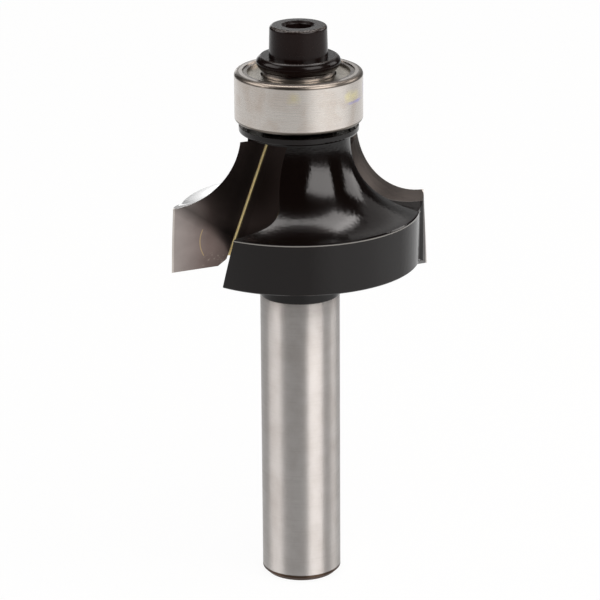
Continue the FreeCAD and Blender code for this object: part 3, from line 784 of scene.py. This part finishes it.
def blackOxideMaterial(settings):
    # Black oxide on steel, oiled: nearly black and glossy, with a fine grain. On the rounded
    # edges grey specks are painted: partly oxide rubbed back by handling, partly painted glints.
    material, tree, place = newMaterial(settings["name"])
    height = addNode(tree, "SeparateXYZ", links={"Vector": place}).outputs["Z"]
    radius = distanceFromAxis(tree, place)
    edgeRadius, edgeHeight = settings["edgeTop"]
    atRadius = addNode(
        tree, "Math", {"operation": "COMPARE", 1: edgeRadius * mm, 2: settings["edgeReach"] * mm}, {0: radius},
    )
    atHeight = addNode(
        tree, "Math", {"operation": "COMPARE", 1: edgeHeight * mm, 2: settings["edgeReach"] * mm}, {0: height},
    )
    edge = addNode(tree, "Math", {"operation": "MULTIPLY"}, {0: atRadius, 1: atHeight})
    grain = addNode(
        tree, "TexNoise", {"Scale": 1 / (settings["oxideGrain"] * mm), "Detail": 4.0, "Roughness": 0.65},
        {"Vector": place},
    )
    black, bareSteelGlint = settings["speckRange"]
    specks = addNode(tree, "MapRange", {"From Min": black, "From Max": bareSteelGlint}, {"Value": grain})
    # painted highlight: grey glints on the rounded edge, with the rubbed oxide
    rubbedAndGlinting = addNode(tree, "Math", {"operation": "MULTIPLY"}, {0: edge, 1: specks})
    colour = addNode(
        tree, "Mix",
        {"data_type": "RGBA", 6: linearColour(settings["oxide"]), 7: linearColour(settings["bareSteelGlint"])},
        {"Factor": rubbedAndGlinting},
    )
    smooth, rough = settings["roughness"]
    roughness = addNode(
        tree, "MapRange",
        {"From Min": noiseLow, "From Max": noiseHigh, "To Min": smooth, "To Max": rough}, {"Value": grain},
    )
    bump = addNode(tree, "Bump", {"Distance": settings["grainHeight"] * mm, "Strength": 1.0}, {"Height": grain})
    finishMaterial(tree, addNode(
        tree, "BsdfPrincipled", {"Specular IOR Level": settings["gloss"]},
        {"Base Color": colour.outputs[2], "Roughness": roughness, "Normal": bump},
    ))
    return material


dress(blackOxideMaterial(bearingWasher), "bearing_washer")
dress(blackOxideMaterial(capScrew), "cap_screw")
print("washer and screw: black oxide")


view = {
    "azimuth": -24.7,          # degrees, 0 looks along +Y
    "elevation": 18.93,
    "roll": -0.378,
    "distance": 319.0,         # mm
    "aimHeight": 29.137,       # mm
    "lens": 190.33,            # mm on a 36 mm sensor
}


def towards(azimuth, elevation):
    # Azimuth counts from the camera to its right, both in degrees
    turn = math.radians(azimuth + view["azimuth"])
    flat = math.cos(math.radians(elevation))
    return Vector((flat * math.sin(turn), -flat * math.cos(turn), math.sin(math.radians(elevation))))


def addCamera():
    data = bpy.data.cameras.new("camera")
    data.lens = view["lens"]
    data.sensor_width = 36
    data.clip_start = 0.01
    camera = bpy.data.objects.new("camera", data)
    bpy.context.collection.objects.link(camera)
    turn = Euler((math.radians(90 - view["elevation"]), 0, math.radians(view["azimuth"])))
    rotation = turn.to_matrix() @ Matrix.Rotation(math.radians(view["roll"]), 3, "Z")
    place = Vector((0, 0, view["aimHeight"] * mm)) + towards(0, view["elevation"]) * view["distance"] * mm
    camera.matrix_world = Matrix.Translation(place) @ rotation.to_4x4()
    bpy.context.scene.camera = camera


# azimuth and elevation of the middle, width and height, in degrees as seen from the bit, then brightness
softboxes = {
    "softboxRight": (45, 31, 42, 38, 8.2),
    "softboxRightBack": (112, 22, 26, 26, 4.6),
    "softboxLeft": (-83, 30, 44, 34, 5.8),
    "softboxOverhead": (180, 74, 58, 30, 8.0),
    "softboxOverheadRight": (148, 57, 26, 9, 2.4),
    "cardBackRight": (150, 36, 36, 22, 0.62),
}
# a broad lamp for the light that falls on matt things; it is left out of reflections
keyLight = (40, 45, 70, 60, 0.9)
studio = {
    "centreHeight": 40.0,      # mm, where the softboxes aim
    "softboxDistance": 600.0,  # mm
    "lampTint": "fffbf9",      # a little warm
    "worldFill": 0.5,          # of its brightness, for the light that falls on things
    "drapeRadius": 900.0,      # mm
    "drapeFoot": 0.5,          # mm over the table
    "drapeOpening": 300.0,     # mm radius of white table left bare round the bit
    "drapeTone": 0.032,
    # a spot is azimuth and elevation of its middle, then the angles where it starts and is full, in degrees
    "backTone": 0.5,           # pale card standing behind the bit
    "backSpot": (180, 8, 36, 12),
    "glareTone": 2.3,          # bright gap low behind the bit, which its far side mirrors
    "glareSpot": (-171, 4, 13, 9),
    "paper": "f2f0ee",
    "paperGlow": 1.05,
    "glowShare": 0.88,         # of what is seen of the paper, the rest carries the shadows
    "litPaper": 0.7,           # added in reflections where the right softbox lights the table
    "litSpot": (58, 0, 50, 22),
    "litFrom": (60.0, 110.0),  # mm from the bit, fading in
}


def addLamp(name, place, mirrored):
    azimuth, elevation, wide, high, brightness = place
    centre = Vector((0, 0, studio["centreHeight"] * mm))
    distance = studio["softboxDistance"] * mm
    data = bpy.data.lights.new(name, "AREA")
    data.shape = "RECTANGLE"
    data.size = 2 * distance * math.tan(math.radians(wide / 2))
    data.size_y = 2 * distance * math.tan(math.radians(high / 2))
    data.energy = brightness * math.pi * data.size * data.size_y
    data.color = linearColour(studio["lampTint"])[:3]
    lamp = bpy.data.objects.new(name, data)
    bpy.context.collection.objects.link(lamp)
    direction = towards(azimuth, elevation)
    lamp.location = centre + direction * distance
    lamp.rotation_euler = direction.to_track_quat("Z", "Y").to_euler()
    lamp.visible_camera = False
    lamp.visible_glossy = mirrored
    lamp.visible_diffuse = not mirrored


def seenDirectly(tree):
    # 1 for camera, mirror and glass rays, 0 for the light that falls on things
    path = addNode(tree, "LightPath")
    seen = addNode(
        tree, "Math", {"operation": "MAXIMUM"},
        {0: path.outputs["Is Camera Ray"], 1: path.outputs["Is Glossy Ray"]},
    )
    return addNode(tree, "Math", {"operation": "MAXIMUM"}, {0: seen, 1: path.outputs["Is Transmission Ray"]})


def addWorld():
    world = bpy.data.worlds.new("studio")
    world.use_nodes = True
    tree = world.node_tree
    tree.nodes.clear()
    strength = addNode(
        tree, "MapRange", {"To Min": studio["worldFill"], "To Max": 1.0}, {"Value": seenDirectly(tree)},
    )
    background = addNode(tree, "Background", {"Color": (1, 1, 1, 1)}, {"Strength": strength})
    addNode(tree, "OutputWorld", links={"Surface": background})
    bpy.context.scene.world = world


def spotShade(tree, place, spot, outside, inside):
    azimuth, elevation, start, full = spot
    direction = addNode(tree, "VectorMath", {"operation": "NORMALIZE"}, {0: place})
    facing = addNode(
        tree, "VectorMath", {"operation": "DOT_PRODUCT", 1: towards(azimuth, elevation)}, {0: direction},
    )
    return addNode(
        tree, "MapRange",
        {"From Min": math.cos(math.radians(start)), "From Max": math.cos(math.radians(full)),
         "To Min": outside, "To Max": inside},
        {"Value": facing.outputs["Value"]},
    )


def addFloor():
    bpy.ops.object.select_all(action="DESELECT")
    bpy.ops.mesh.primitive_plane_add(size=6, location=(0, 0, 0))
    floor = bpy.context.object
    floor.name = "paperFloor"
    material, tree, place = newMaterial("whitePaper")
    share = addNode(tree, "Math", {"operation": "MULTIPLY", 1: studio["glowShare"]}, {0: seenDirectly(tree)})
    paper = addNode(tree, "BsdfDiffuse", {"Color": linearColour(studio["paper"])})
    lit = spotShade(tree, place, studio["litSpot"], 0.0, studio["litPaper"])
    near, far = studio["litFrom"]
    clearOfBit = addNode(
        tree, "MapRange", {"From Min": near * mm, "From Max": far * mm},
        {"Value": distanceFromAxis(tree, place)},
    )
    extra = addNode(tree, "Math", {"operation": "MULTIPLY"}, {0: lit, 1: clearOfBit})
    mirrored = addNode(tree, "LightPath").outputs["Is Glossy Ray"]
    strength = addNode(
        tree, "Math", {"operation": "MULTIPLY_ADD", 2: studio["paperGlow"]}, {0: extra, 1: mirrored},
    )
    glow = addNode(tree, "Emission", {"Color": (1, 1, 1, 1)}, {"Strength": strength})
    finishMaterial(tree, addNode(tree, "MixShader", links={"Fac": share, 1: paper, 2: glow}))
    floor.data.materials.append(material)


def addDrape():
    # Black cloth round and over the table, with a pale card and a bright gap at the back: only
    # reflections show them
    bpy.ops.object.select_all(action="DESELECT")
    radius = studio["drapeRadius"] * mm
    bpy.ops.mesh.primitive_uv_sphere_add(segments=64, ring_count=32, radius=radius, location=(0, 0, 0))
    drape = bpy.context.object
    drape.name = "blackDrape"
    opening = studio["drapeOpening"] / studio["drapeRadius"]
    bpy.ops.object.mode_set(mode="EDIT")
    bpy.ops.mesh.select_all(action="SELECT")
    bpy.ops.mesh.bisect(plane_co=(0, 0, studio["drapeFoot"] * mm), plane_no=(0, 0, 1), clear_inner=True)
    bpy.ops.mesh.extrude_edges_move()
    bpy.ops.transform.resize(value=(opening, opening, 1))
    bpy.ops.object.mode_set(mode="OBJECT")
    material, tree, place = newMaterial("blackCloth")
    tone = spotShade(tree, place, studio["backSpot"], studio["drapeTone"], studio["backTone"])
    glare = spotShade(tree, place, studio["glareSpot"], 0.0, studio["glareTone"])
    brightness = addNode(tree, "Math", {"operation": "ADD"}, {0: tone, 1: glare})
    finishMaterial(tree, addNode(tree, "Emission", {"Color": (1, 1, 1, 1)}, {"Strength": brightness}))
    drape.data.materials.append(material)
    drape.visible_camera = False
    drape.visible_diffuse = False
    drape.visible_transmission = False
    drape.visible_shadow = False


addCamera()
for name, place in softboxes.items():
    addLamp(name, place, mirrored=True)
addLamp("keyLight", keyLight, mirrored=False)
addWorld()
addFloor()
addDrape()
bpy.context.scene.view_settings.view_transform = "Standard"
print("camera and studio ready")
